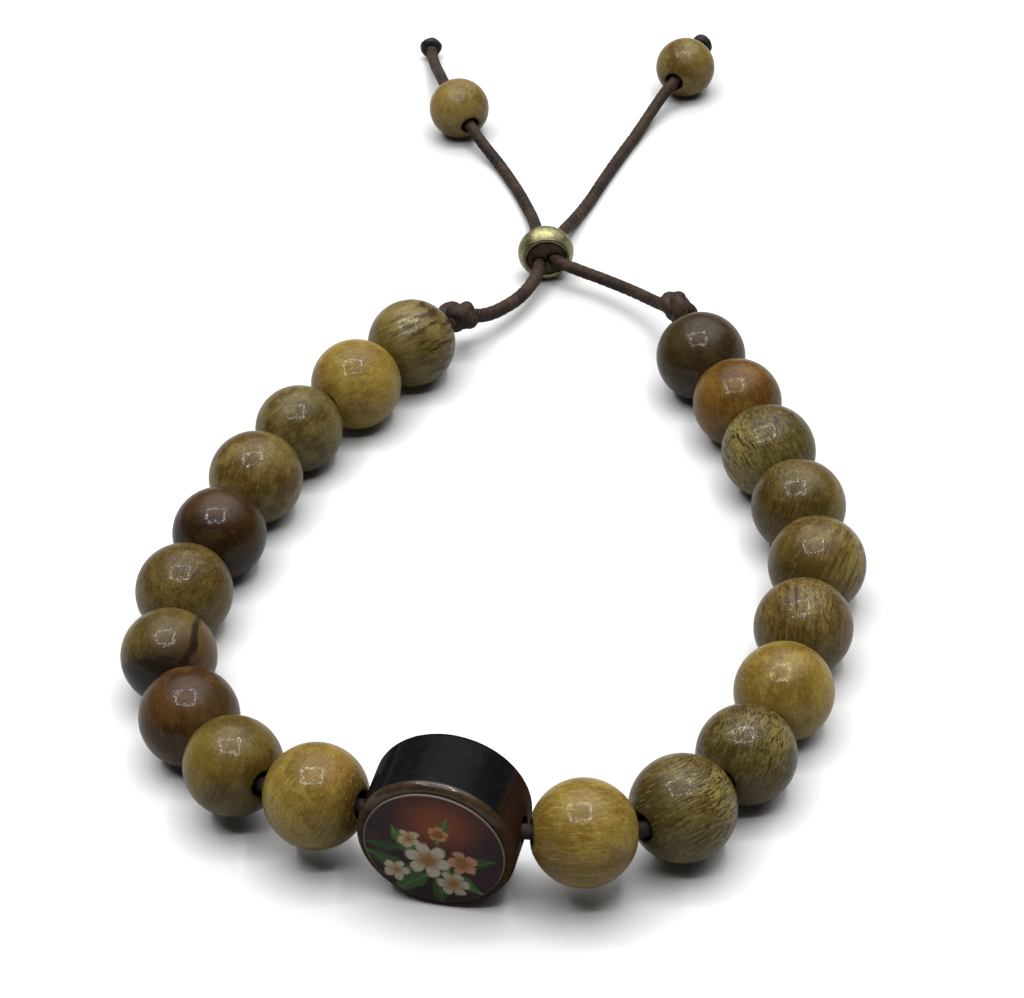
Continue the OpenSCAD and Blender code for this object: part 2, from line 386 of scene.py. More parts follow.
def char_look():
    look = Look("burnt_cord_black")
    place = look.place()
    crust = look.noise(place, 2200, 4, 0.65)
    colour = look.between(crust, 0.35, 0.7, CHAR_TONES)
    look.set(Base_Color=colour, Roughness=look.step(crust, 0.3, 0.7, 0.4, 0.6), Specular_IOR_Level=0.15,
             Normal=look.bump(crust, 0.6, 0.12))
    return look.material


def add_lump(name, at, way, material):
    """A disc of melted cord square to the cord's way, with an uneven rounded rim."""
    side, up = square_to(way)
    points = []
    for i in range(1, LUMP_ROWS):
        lean = math.pi * i / LUMP_ROWS
        across = math.sin(lean) ** RIM_POWER * MELT_D / 2
        along = math.copysign(abs(math.cos(lean)) ** FACE_POWER, math.cos(lean)) * MELT_T / 2
        for k in range(LUMP_TURNS):
            angle = math.tau * k / LUMP_TURNS
            out = math.cos(angle) * side + math.sin(angle) * up
            wave = noise.noise(WAVE_AROUND * out + WAVE_ALONG * way * math.cos(lean) + WAVE_PLACE * at)
            wide = UNEVEN_WIDE[0] + UNEVEN_WIDE[1] * wave
            thick = UNEVEN_THICK[0] + UNEVEN_THICK[1] * wave
            points.append(at + out * across * wide + way * along * thick)
    faces = ring_faces(LUMP_ROWS - 1, LUMP_TURNS)
    points += [at + way * MELT_T * CAP_AT, at - way * MELT_T * CAP_AT]
    last = (LUMP_ROWS - 2) * LUMP_TURNS
    for k in range(LUMP_TURNS):
        n = (k + 1) % LUMP_TURNS
        faces.append((k, n, len(points) - 2))
        faces.append((last + n, last + k, len(points) - 1))
    return add_piece(name, points, faces, material)


char = char_look()
for side_name, points in (("left", LEFT_ROUTE), ("right", RIGHT_ROUTE)):
    end, before = Vector(points[-1]), Vector(points[-2])
    add_lump("burnt_end_" + side_name, end, (end - before).normalized(), char)
    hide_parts("melted_end_" + side_name)


# Wood: per kind its light and dark tone, before the lacquer yellows them
WOODS = {
    "honey": ("69592e", "483611"),
    "gold": ("695a35", "483614"),
    "olive": ("695d3c", "473817"),
    "tan": ("695a36", "483715"),
    "orange": ("6a5026", "482f0c"),
    "umber": ("69553a", "4a3a20"),
    "russet": ("6e4d2a", "472b13"),
    "plum": ("6e5130", "442a16"),
    "ash": ("6d623e", "463614"),
}
# Painted shade inside the beads' holes and on their lips
BORE_SHADE = "0c0805"
# The share of a tone's blue that the yellowed lacquer lets through
YELLOWED = 0.82
# How far one step of SEED moves the pattern along each axis
SEED_STEP = (3.7, 1.9, 2.3)
# How finely each pattern is drawn along, across and into the grain, and how far the grain bends
STREAK_SCALE = (0.5, 5.5, 2.2)
FIBRE_SCALE = (2.2, 26, 10)
PORE_SCALE = (2.0, 30, 8)
VEIN_SCALE = (1.1, 9.5, 2.4)
GRAIN_BEND = (0.11, 0.11, 0.11)
# What a pattern's noise passes where the pattern starts and where it is full. Pores start PORE_EASE
# earlier on a bead whose PORES are 1.
MOTTLE_EDGE = (0.42, 0.58)
DARK_STREAK_EDGE = (0.5, 0.62)
PALE_STREAK_EDGE = (0.48, 0.36)
GLINT_EDGE = (0.52, 0.68)
SPECK_EDGE = (0.5, 0.62)
PORE_EDGE = (0.6, 0.64)
PORE_EASE = 0.06
VEIN_EDGE = (0.51, 0.58)
# How much a full pattern covers of the colour below it. Specks cover SPECK_MORE more where a bead's
# PORES are 1.
DARK_STREAK_COVER = 0.7
PALE_STREAK_COVER = 0.5
GLINT_COVER = 0.5
SPECK_COVER = 0.3
SPECK_MORE = 0.4
DASH_COVER = 0.88
# Dashes and veins have CALM of their strength behind the first of these places towards a bead's
# SIDE, in units of its radius, and all of it beyond the second
CALM = 0.2
BUSY_EDGE = (-0.5, 0.4)
# Glints as a share of the light tone, and specks, dashes and veins as shares of the dark one
GLINT = 1.4
SPECK = 0.62
DASH = 0.38
VEIN = 0.5

# One row per bead: its CAD node and slot, and its kind of wood. TONE lightens or darkens the wood.
# TURN is the grain's direction across the photo in degrees, from the right upwards, and LEAN how
# far it runs towards the viewer. MOTTLE, STREAKS, PORES and VEINS say how strong the soft patches,
# the broad streaks, the fine dark specks and dashes, and the bold dark lines are. SIDE is the
# direction, in degrees, of the side where dashes and lines are strongest. GLOSS is the lacquer's
# roughness, and SEED moves the pattern.
BeadLook = namedtuple("BeadLook", "node slot wood tone turn lean mottle streaks pores veins side gloss seed")
BEAD_LOOKS = [
    BeadLook("left_bead_1", "wood_honey", "honey", 0.99, 60, 30, 0.6, 0.3, 0.3, 0.0, 180, 0.04, 1),
    BeadLook("left_bead_2", "wood_olive", "honey", 0.52, 65, 20, 0.8, 0.4, 0.3, 0.0, 270, 0.03, 2),
    BeadLook("left_bead_3", "wood_russet", "russet", 0.28, 95, 25, 0.8, 0.5, 0.2, 0.0, 90, 0.03, 3),
    BeadLook("left_bead_4", "wood_golden", "gold", 0.51, 75, 15, 0.6, 0.5, 0.2, 0.0, 120, 0.05, 4),
    BeadLook("left_bead_5", "wood_golden", "gold", 0.57, 60, 40, 0.7, 0.4, 0.6, 0.0, 90, 0.05, 5),
    BeadLook("left_bead_6", "wood_russet", "plum", 0.16, 20, 10, 0.8, 0.4, 0.1, 0.0, 90, 0.03, 6),
    BeadLook("left_bead_7", "wood_golden", "gold", 0.66, 75, 30, 0.9, 0.5, 0.3, 0.0, 90, 0.04, 7),
    BeadLook("left_bead_8", "wood_olive", "olive", 0.59, 45, 20, 0.9, 0.4, 0.3, 0.0, 90, 0.05, 8),
    BeadLook("left_bead_9", "wood_honey", "honey", 1.20, 30, 20, 0.6, 0.2, 0.1, 0.0, 0, 0.06, 9),
    BeadLook("left_bead_10", "wood_olive", "olive", 0.78, 25, 10, 0.6, 0.6, 0.4, 1.0, 40, 0.07, 10),
    BeadLook("right_bead_1", "wood_honey", "honey", 1.15, 0, 25, 0.5, 0.5, 0.2, 0.25, 0, 0.05, 11),
    BeadLook("right_bead_2", "wood_umber", "ash", 0.67, 30, 10, 0.7, 0.6, 1.0, 0.5, 10, 0.05, 12),
    BeadLook("right_bead_3", "wood_umber", "ash", 0.54, 68, 25, 0.8, 0.6, 1.0, 0.35, 50, 0.05, 13),
    BeadLook("right_bead_4", "wood_honey", "honey", 1.04, 100, 30, 0.6, 0.3, 0.2, 0.0, 90, 0.04, 14),
    BeadLook("right_bead_5", "wood_tan", "tan", 0.68, 88, 20, 0.5, 0.7, 0.8, 0.5, 95, 0.05, 15),
    BeadLook("right_bead_6", "wood_tan", "tan", 0.72, 60, 10, 0.8, 0.9, 0.4, 0.55, 10, 0.05, 16),
    BeadLook("right_bead_7", "wood_olive", "tan", 0.52, 70, 20, 0.8, 0.4, 0.7, 0.0, 180, 0.07, 17),
    BeadLook("right_bead_8", "wood_tan", "ash", 0.62, 118, 10, 0.6, 0.6, 1.0, 0.3, 140, 0.07, 18),
    BeadLook("right_bead_9", "wood_orange", "orange", 0.64, 100, 20, 0.8, 0.3, 0.2, 0.0, 270, 0.10, 19),
    BeadLook("right_bead_10", "wood_umber", "umber", 0.23, 150, 15, 0.8, 0.3, 0.3, 0.0, 90, 0.05, 20),
    BeadLook("end_bead_left", "wood_golden", "gold", 0.96, 60, 20, 0.7, 0.3, 0.3, 0.0, 90, 0.08, 21),
    BeadLook("end_bead_right", "wood_golden", "gold", 0.81, 40, 20, 0.9, 0.3, 0.3, 0.0, 90, 0.08, 22),
]

# Single marks on a bead: X, Y its middle from the bead's, LONG and WIDE half its size, all in
# units of the bead's radius, TURN its direction in degrees, SOFT how blurred its edge is and SHARE
# how much it covers. Marks less soft than CRISP_BELOW lie over the grain and the others under it.
# MARK_RAGGED is how uneven their outlines are. Besides the wood's own patches and lines, many soft
# marks are painted light and shade: upright bands, lighter on a bead's open side and darker on a side
# that a neighbouring bead or the tablet shades, and dark patches low on a bead where it lies in shade.
CRISP_BELOW = 0.7
MARK_RAGGED = 1.2
Mark = namedtuple("Mark", "node x y turn long wide soft share colour")
MARKS_AND_SHADING = [
    Mark("left_bead_1", 0.5, 0.45, 60, 0.5, 0.4, 0.9, 0.4, "6b4c20"),
    # Painted shade on the right side beside the tablet, then painted light on the left side
    Mark("left_bead_1", 0.8, -0.1, 82, 0.75, 0.34, 0.8, 0.85, "2c1f0e"),
    Mark("left_bead_1", -0.7, -0.1, 90, 0.6, 0.3, 0.9, 0.5, "766633"),
    Mark("left_bead_2", 0.5, -0.55, 30, 0.55, 0.3, 0.8, 0.6, "2b2012"),
    # Painted light on the left side
    Mark("left_bead_2", -0.7, -0.05, 80, 0.6, 0.3, 0.9, 0.7, "605124"),
    Mark("left_bead_3", 0.5, -0.05, 80, 0.7, 0.45, 0.9, 0.45, "3d331c"),
    Mark("left_bead_4", 0.72, 0.0, 85, 0.85, 0.3, 0.6, 0.8, "443120"),
    Mark("left_bead_4", 0.0, 0.0, 40, 0.62, 0.42, 0.45, 0.7, "2c1f17"),
    Mark("left_bead_4", -0.45, -0.5, 25, 0.85, 0.55, 0.25, 0.92, "17110e"),
    Mark("left_bead_4", 0.1, -0.25, 15, 0.55, 0.12, 0.6, 0.8, "19110f"),
    Mark("left_bead_4", 0.6, 0.45, 88, 0.42, 0.07, 0.4, 0.9, "1a120e"),
    Mark("left_bead_4", 0.46, 0.02, 60, 0.34, 0.09, 0.4, 0.9, "1a120e"),
    Mark("left_bead_5", 0.34, 0.4, 50, 0.2, 0.035, 0.4, 0.7, "1c140b"),
    Mark("left_bead_6", -0.1, 0.7, 0, 0.75, 0.4, 0.9, 0.5, "382717"),
    # Painted shade low on the bead
    Mark("left_bead_6", 0.1, -0.55, 0, 0.85, 0.35, 0.9, 0.7, "0f0803"),
    Mark("left_bead_9", -0.75, 0.1, 80, 0.7, 0.3, 0.9, 0.6, "553c18"),
    Mark("left_bead_9", 0.7, 0.0, 85, 0.6, 0.28, 0.9, 0.6, "74602f"),
    Mark("left_bead_10", -0.15, 0.45, 25, 0.5, 0.3, 0.8, 0.5, "6c5f3a"),
    Mark("left_bead_10", -0.72, 0.0, 95, 0.6, 0.25, 0.9, 0.5, "504428"),
    Mark("right_bead_1", -0.55, -0.6, 150, 0.6, 0.35, 0.9, 0.45, "4e3b1a"),
    # Painted shade on the left side beside the tablet
    Mark("right_bead_1", -0.72, -0.1, 90, 0.7, 0.28, 0.9, 0.7, "403316"),
    # Painted shade on the left side beside the next bead, then painted light on the right side
    Mark("right_bead_2", -0.66, -0.05, 90, 0.9, 0.42, 0.9, 0.9, "231c0e"),
    Mark("right_bead_2", 0.72, 0.0, 80, 0.8, 0.28, 0.9, 0.6, "776a3c"),
    Mark("right_bead_2", 0.05, -0.45, 0, 0.8, 0.4, 0.9, 0.5, "31290f"),
    Mark("right_bead_3", -0.1, -0.4, 0, 0.8, 0.5, 0.9, 0.75, "2c2411"),
    # Painted light on the right side
    Mark("right_bead_3", 0.6, 0.35, 60, 0.7, 0.3, 0.9, 0.5, "6c6238"),
    Mark("right_bead_3", 0.0, 0.68, 0, 0.7, 0.25, 0.9, 0.6, "554a2a"),
    Mark("right_bead_4", -0.5, -0.5, 150, 0.6, 0.35, 0.9, 0.5, "5a3c1c"),
    # Painted shade on the left side, which faces into the loop, then painted light on the right side
    Mark("right_bead_4", -0.8, 0.1, 90, 0.7, 0.25, 0.9, 0.6, "574420"),
    Mark("right_bead_4", 0.75, 0.0, 90, 0.7, 0.25, 0.9, 0.6, "7e6c38"),
    Mark("right_bead_5", -0.22, 0.62, 88, 0.24, 0.035, 0.4, 0.95, "1b140a"),
    Mark("right_bead_5", 0.0, -0.4, 0, 0.8, 0.4, 0.9, 0.4, "3a301c"),
    Mark("right_bead_5", 0.1, 0.6, 0, 0.75, 0.35, 0.9, 0.6, "60502c"),
    # Painted shade on the left side, then painted light on the right side
    Mark("right_bead_6", -0.62, -0.1, 75, 0.85, 0.42, 0.9, 0.85, "2b220d"),
    Mark("right_bead_6", 0.68, -0.05, 75, 0.8, 0.32, 0.9, 0.7, "716437"),
    # Painted light on the right side, then painted shade low on the bead
    Mark("right_bead_7", 0.8, 0.1, 80, 0.7, 0.2, 0.8, 0.6, "655b34"),
    Mark("right_bead_7", -0.1, -0.62, 0, 0.8, 0.35, 0.9, 0.8, "372d14"),
    Mark("right_bead_7", -0.5, -0.4, 60, 0.5, 0.3, 0.9, 0.4, "43301d"),
    # Painted light on the left side, then painted shade on the right side
    Mark("right_bead_8", -0.68, 0.05, 105, 0.8, 0.3, 0.9, 0.8, "756b44"),
    Mark("right_bead_8", 0.66, -0.1, 85, 0.8, 0.33, 0.9, 0.7, "3a321c"),
    Mark("right_bead_9", 0.5, 0.35, 120, 0.5, 0.4, 0.9, 0.45, "4f3016"),
    Mark("right_bead_9", 0.0, -0.62, 85, 0.2, 0.04, 0.5, 0.8, "241408"),
    Mark("right_bead_9", -0.7, 0.0, 90, 0.6, 0.28, 0.9, 0.6, "62471f"),
    Mark("right_bead_9", 0.72, -0.1, 90, 0.6, 0.25, 0.9, 0.6, "33240c"),
    Mark("right_bead_10", -0.5, 0.55, 30, 0.6, 0.35, 0.9, 0.45, "3a2a1c"),
    Mark("right_bead_10", 0.0, 0.72, 0, 0.6, 0.2, 0.9, 0.6, "1a1309"),
    # Painted light on the left side
    Mark("end_bead_left", -0.65, 0.1, 90, 0.6, 0.35, 0.9, 0.6, "766236"),
    Mark("end_bead_right", 0.3, -0.1, 60, 0.4, 0.25, 0.9, 0.5, "3f3018"),
    # Painted light on the right side
    Mark("end_bead_right", 0.7, 0.15, 80, 0.6, 0.3, 0.9, 0.6, "66542e"),
]


def wood_colour(hex_colour, times=1.0):
    """A wood tone or a mark, as it looks under the yellowed lacquer."""
    red, green, blue, alpha = linear(hex_colour, times)
    return [red, green, YELLOWED * blue, alpha]


def along_grain(look, own, row):
    """A bead's frame, bent a little and turned so that its first axis follows the grain."""
    grain = look.bent(own, 1.4, 2.0, GRAIN_BEND)
    for axis, angle in (((0, 0, 1), -row.turn), ((0, 1, 0), row.lean)):
        grain = look.add("VectorRotate", {"Vector": grain, "Axis": axis, "Angle": math.radians(angle)},
                         rotation_type="AXIS_ANGLE")
    return grain


def wood_look(row, centre, d):
    """Lacquered wood in a bead's own frame: photo right, photo up and near, in units of its radius."""
    look = Look("lacquered_" + row.node)
    pale, deep = WOODS[row.wood]
    light, dark = wood_colour(pale, row.tone), wood_colour(deep, row.tone)
    spot = look.seen_from(centre, (RIGHT, UP, NEAR), d / 2)
    own = look.scaled(spot, (1, 1, 1), shift=[row.seed * step for step in SEED_STEP])
    grain = along_grain(look, own, row)
    patch = look.noise(own, 1.5, 4, 0.6)
    streak = look.noise(look.scaled(grain, STREAK_SCALE), 1.0, 4, 0.65)
    fibre = look.noise(look.scaled(grain, FIBRE_SCALE), 1.0, 3, 0.65)
    pore = look.noise(look.scaled(grain, PORE_SCALE), 1.0, 2, 0.5)
    grit = look.noise(own, 13, 4, 0.75)
    side = (math.cos(math.radians(row.side)), math.sin(math.radians(row.side)), 0)
    toward = look.add("VectorMath", {0: spot, 1: side}, output="Value", operation="DOT_PRODUCT")
    busy = look.step(toward, *BUSY_EDGE, CALM, 1.0)
    middle = look.mix(0.5, dark, light)
    colour = look.mix(row.mottle, middle, look.mix(look.step(patch, *MOTTLE_EDGE), dark, light))
    colour = add_marks(look, row, spot, own, colour, False)
    dark_streaks = look.step(streak, *DARK_STREAK_EDGE, 0, row.streaks * DARK_STREAK_COVER)
    colour = look.mix(dark_streaks, colour, dark)
    pale_streaks = look.step(streak, *PALE_STREAK_EDGE, 0, row.streaks * PALE_STREAK_COVER)
    colour = look.mix(pale_streaks, colour, light)
    glints = look.step(fibre, *GLINT_EDGE, 0, GLINT_COVER)
    colour = look.mix(glints, colour, wood_colour(pale, GLINT * row.tone))
    specks = look.step(grit, *SPECK_EDGE, 0, SPECK_COVER + SPECK_MORE * row.pores)
    colour = look.mix(specks, colour, wood_colour(deep, SPECK * row.tone))
    ease = PORE_EASE * row.pores
    pores = look.times(look.step(pore, PORE_EDGE[0] - ease, PORE_EDGE[1] - ease), busy)
    dashes = look.times(pores, row.pores)
    colour = look.mix(look.times(dashes, DASH_COVER), colour, wood_colour(deep, DASH * row.tone))
    if row.veins:
        vein = look.noise(look.scaled(grain, VEIN_SCALE), 1.0, 3, 0.55)
        line = look.times(look.step(vein, *VEIN_EDGE), busy)
        colour = look.mix(look.times(line, row.veins), colour, wood_colour(deep, VEIN * row.tone))
    colour = add_marks(look, row, spot, own, colour, True)
    # Painted shade in the hole and on its lips, as strong as the mesh's bore number says
    colour = look.mix(look.number("bore"), colour, linear(BORE_SHADE))
    look.set(Base_Color=colour, Roughness=look.step(fibre, 0.3, 0.7, 0.36, 0.46),
             Specular_IOR_Level=0.05, Coat_Weight=0.17, Coat_Roughness=row.gloss, Coat_IOR=1.5)
    depth = look.maths("SUBTRACT", look.times(fibre, 0.35), dashes)
    look.set(Normal=look.bump(depth, 0.5, 0.05))
    ripple = look.noise(own, 4.0, 3, 0.6)
    height = look.maths("ADD", ripple, look.times(depth, 0.14))
    look.set(Coat_Normal=look.bump(height, 0.5, 0.1))
    return look.material


def add_marks(look, row, spot, own, colour, crisp):
    """Lays a bead's crisp marks, or its soft ones with their painted light and shade, over a colour."""
    for mark in MARKS_AND_SHADING:
        if mark.node == row.node and (mark.soft < CRISP_BELOW) == crisp:
            colour = add_mark(look, spot, own, mark, colour)
    return colour


def add_mark(look, spot, own, mark, colour):
    """Lays one mark on the near side of a bead over a colour."""
    laid = look.laid(spot, mark.x, mark.y, mark.turn)
    away = look.length(look.scaled(laid, (1 / mark.long, 1 / mark.wide, 0)))
    ragged = look.maths("SUBTRACT", look.noise(own, 3.5, 4, 0.65), 0.5)
    away = look.maths("ADD", away, look.times(ragged, MARK_RAGGED))
    _, _, front = look.split(spot)
    inside = look.times(look.step(away, 1 + mark.soft, 1 - mark.soft), look.step(front, -0.1, 0.1))
    return look.mix(look.times(inside, mark.share), colour, wood_colour(mark.colour))


def bead_shape(node):
    """A drilled bead's middle, diameter and hole direction, read from its CAD node.

    Only the wall of the hole faces the middle, and the hole runs square to all of that wall.
    """
    low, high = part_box(node)
    centre = (low + high) / 2
    mesh = nodes[node].data
    radius = max((v.co - centre).length for v in mesh.vertices)
    wall = [f.normal * math.sqrt(f.area) for f in mesh.polygons if f.normal.dot(f.center - centre) < 0]
    normals = np.array(wall)
    way = Vector(np.linalg.eigh(normals.T @ normals)[1][:, 0])
    return centre / MM, 2 * radius / MM, way.normalized()


BEAD_TURNS = 96
BEAD_ROWS = 60
LIP_ROWS = 6
WALL_ROWS = 6
# A lip curves in from LIP_WIDE outside the hole's edge to LIP_DEEP down the hole. The curve's
# corner is level with the ball's ring that is CORNER_BALL outside the hole's wall, and lies
# CORNER_WALL outside that wall. The last number below is how dark the hole's painted shade is at
# the lip's inner end, and the hole's wall gets all of it.
LIP_WIDE = 0.28
LIP_DEEP = 0.32
CORNER_BALL = 0.05
CORNER_WALL = 0.03
LIP_SHADE = 0.8


def bead_profile(d, bore):
    """A bead's section, out of its hole, over the ball and back in: along, across and painted shade."""
    r, hole = d / 2, bore / 2
    edge = hole + LIP_WIDE
    half = math.sqrt(r * r - (hole + CORNER_BALL) ** 2)
    middle = half - LIP_DEEP
    start = math.asin(edge / r)
    profile = []
    for i in range(BEAD_ROWS + 1):
        lean = start + (math.pi - 2 * start) * i / BEAD_ROWS
        profile.append((r * math.cos(lean), r * math.sin(lean), 0.0))
    for i in range(1, LIP_ROWS + 1):
        t = i / LIP_ROWS
        along = r * math.cos(start) * (1 - t) ** 2 + 2 * half * t * (1 - t) + middle * t * t
        across = edge * (1 - t) ** 2 + 2 * (hole + CORNER_WALL) * t * (1 - t) + hole * t * t
        profile.append((-along, across, LIP_SHADE * t * t))
        profile.insert(0, (along, across, LIP_SHADE * t * t))
    for i in range(1, WALL_ROWS):
        profile.append((-middle + 2 * middle * i / WALL_ROWS, hole, 1.0))
    return profile


def add_bead(row, bore):
    """A turned bead with rounded lips at its hole."""
    centre, d, way = bead_shape(row.node)
    profile = bead_profile(d, bore)
    side, up = square_to(way)
    points, dark = [], []
    for along, across, shade in profile:
        for k in range(BEAD_TURNS):
            angle = math.tau * k / BEAD_TURNS
            points.append(centre + way * along + (math.cos(angle) * side + math.sin(angle) * up) * across)
            dark.append(shade)
    faces = ring_faces(len(profile), BEAD_TURNS, closed=True)
    piece = add_piece("turned_" + row.node, points, faces, wood_look(row, centre, d),
                      [("bore", dark)])
    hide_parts(row.node)
    return piece


BEAD_BORE = 2.1
END_BORE = 1.9
for row in BEAD_LOOKS:
    add_bead(row, END_BORE if row.node.startswith("end") else BEAD_BORE)


# Knots: an overhand knot of the same cord, drawn tight, behind the last bead of each side. It is a
# trefoil of mean radius KNOT_RING that swings in and out by KNOT_SWING, rises and sinks by
# KNOT_RISE, is open for KNOT_GAP radians to either side of its start and lies KNOT_BACK off the
# knot's middle. Its ends reach KNOT_STUB past the knot's flats.
KNOT_RING = 0.84
KNOT_SWING = 0.44
KNOT_RISE = 0.56
KNOT_GAP = 0.2
KNOT_BACK = 0.35
KNOT_STEPS = 26
KNOT_CORD_D = 1.28 * CORD_D
KNOT_STUB = 0.1
KNOT_LEAN_LEFT = -12
KNOT_LEAN_RIGHT = 60


def add_knot(name, at, bead_node, tail, lean):
    """The cord comes out of the bead, loops through itself and leaves towards its tail.

    lean turns the knot's loops about its length, in degrees.
    """
    bead_at, _, _ = bead_shape(bead_node)
    way = (tail - at).normalized()
    inward = (bead_at - at).normalized()
    axis = (way - inward).normalized()
    side = axis.cross(Vector((0, 0, 1))).normalized()
    body = Matrix.Rotation(math.radians(lean), 3, axis) @ side
    rise = axis.cross(body)
    points = [at + inward * (KNOT_FLAT + KNOT_STUB)]
    for i in range(KNOT_STEPS + 1):
        t = KNOT_GAP + (math.tau - 2 * KNOT_GAP) * i / KNOT_STEPS
        out = KNOT_RING + KNOT_SWING * math.cos(3 * t)
        points.append(at + body * (out * math.cos(2 * t) - KNOT_BACK) + axis * (out * math.sin(2 * t))
                      + rise * (KNOT_RISE * math.sin(3 * t)))
    points.append(at + way * (KNOT_FLAT + KNOT_STUB))
    return add_rope(name, points, waxed, KNOT_CORD_D)


knot_left = add_knot("tied_knot_left", KNOT_LEFT, "left_bead_10", left_route[1], KNOT_LEAN_LEFT)
knot_right = add_knot("tied_knot_right", KNOT_RIGHT, "right_bead_10", right_route[1],
                      KNOT_LEAN_RIGHT)
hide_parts("knot_left")
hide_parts("knot_right")


# Tablet: black lacquer on the rim, browner at its right end, with a brownish shoulder in front and
# plain behind. The shoulder lies outside SHOULDER_R, from SHOULDER_BACK to SHOULDER_FRONT behind
# the front face. Its shine comes in at SHOULDER_TOP above the tablet's middle, and the brown at
# BROWN_END to the right of it. TABLET_AXES are the tablet's right, up and front.
TABLET_AT = Vector((-4.75, -38.65, 6.1))
TABLET_TURN = math.radians(-16)
TABLET_D = 12.2
TABLET_T = 6.1
PICTURE_D = 10.8
SHOULDER_R = (5.2, 5.4)
SHOULDER_BACK = 0.75
SHOULDER_FRONT = 0.45
SHOULDER_TOP = (2.0, 4.5)
BROWN_END = (4.4, 5.8)
TABLET_TONES = ("0a0b0c", "13100e")
SHOULDER_TONES = ("221a11", "33281a")
TABLET_END_TONE = "2a1a0f"
TABLET_AXES = (
    Vector((math.cos(TABLET_TURN), math.sin(TABLET_TURN), 0)),
    Vector((0, 0, 1)),
    Vector((math.sin(TABLET_TURN), -math.cos(TABLET_TURN), 0)),
)


def tablet_look():
    look = Look("lacquered_tablet")
    spot = look.seen_from(TABLET_AT, TABLET_AXES, 1.0)
    across, up, front = look.split(spot)
    worn = look.noise(spot, 1.3, 4, 0.6)
    fine = look.noise(spot, 9.0, 3, 0.6)
    from_axis = look.length(look.scaled(spot, (1, 1, 0)))
    shoulder = look.times(look.step(front, TABLET_T / 2 - SHOULDER_BACK, TABLET_T / 2 - SHOULDER_FRONT),
                          look.step(from_axis, *SHOULDER_R))
    colour = look.mix(shoulder, look.between(worn, 0.45, 0.75, TABLET_TONES),
                      look.between(worn, 0.3, 0.7, SHOULDER_TONES))
    right_end = look.step(across, *BROWN_END, 0, 0.7)
    colour = look.mix(right_end, colour, linear(TABLET_END_TONE))
    clear = look.times(shoulder, look.step(up, *SHOULDER_TOP))
    look.set(Base_Color=colour, Roughness=look.step(fine, 0.35, 0.7, 0.4, 0.5),
             Specular_IOR_Level=0.0, Coat_Weight=look.step(clear, 0.2, 0.8, 0.05, 0.4),
             Coat_Roughness=0.05, Coat_IOR=1.5)
    wave = look.bump(look.maths("ADD", worn, look.times(fine, 0.15)), 0.15, 0.15)
    look.set(Normal=wave, Coat_Normal=wave)
    return look.material


nodes["picture_tablet"].material_slots[0].material = tablet_look()


# The cord through the tablet and the beads. It passes halfway between their mouths, which are the
# middles of flats BEAD_FLAT across.
BEAD_FLAT = 2.2
SIDE_BEADS = 10


def thread_route(side_name, side, knot):
    """Where the cord passes, outward from the tablet to one side's knot."""
    mouth = TABLET_AT + TABLET_AXES[0] * side * TABLET_D / 2
    route = []
    for k in range(1, SIDE_BEADS + 1):
        centre, d, way = bead_shape(f"{side_name}_bead_{k}")
        half = way * math.copysign(math.sqrt(d * d - BEAD_FLAT ** 2) / 2, way.dot(centre - mouth))
        route.append((mouth + centre - half) / 2)
        mouth = centre + half
    return route + [mouth, knot + (KNOT_FLAT + HAIR) * (mouth - knot).normalized()]


left_thread = thread_route("left", -1, KNOT_LEFT)
right_thread = thread_route("right", 1, KNOT_RIGHT)
thread = add_rope("waxed_thread", left_thread[::-1] + right_thread, shaded)
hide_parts("bead_cord")


# Print: pale blossoms and leaves on a dark ground with a warm glow behind them, inside a thin pale
# rim that is fainter below. Places and sizes are in units of the print's radius, and angles in
# degrees.
GROUND_TONES = ("0f090b", "261417")
BRUSH_BEND = (0.13, 0.13, 0)
GLOW_SCALE = (1.1, 1.3, 0)
GLOW_SHIFT = (-0.1, -0.6, 0)
GLOW_R = (0.9, 0.1)
RIM_R = (0.978, 0.986)
RIM_UP = (-0.75, 0.0)
GLOW_TONE = "6a3419"
HEART_TONE = "6a4a18"
DUST_TONE = "20140f"
RIM_TONE = "5a5249"
Leaf = namedtuple("Leaf", "x y angle long wide colour")
LEAVES = [
    Leaf(-0.55, -0.3, 150, 0.42, 0.14, "2c4424"),
    Leaf(-0.35, 0.12, 120, 0.36, 0.12, "3c5a2c"),
    Leaf(-0.62, 0.02, 175, 0.3, 0.1, "22381e"),
    Leaf(-0.3, -0.62, 215, 0.38, 0.13, "34502a"),
    Leaf(0.1, -0.72, 275, 0.3, 0.11, "2a4021"),
    Leaf(0.46, -0.5, 320, 0.34, 0.11, "3a5429"),
    Leaf(0.62, -0.12, 15, 0.32, 0.1, "2a3f20"),
    Leaf(0.2, 0.42, 70, 0.3, 0.09, "42552a"),
]
Blossom = namedtuple("Blossom", "x y size petals turn inner outer")
BLOSSOMS = [
    Blossom(-0.5, -0.42, 0.2, 5, 10, "c9a36b", "d9cdb4"),
    Blossom(0.46, -0.14, 0.22, 5, 40, "a8633c", "cf9f78"),
    Blossom(0.3, -0.56, 0.24, 6, 0, "b88a4e", "cfc5ae"),
    Blossom(-0.28, 0.2, 0.17, 5, 25, "c08a50", "dcc9a4"),
    Blossom(0.14, 0.36, 0.15, 5, 60, "9c5230", "d19a66"),
    Blossom(-0.04, -0.16, 0.33, 6, 15, "b5803e", "ddd3bd"),
]


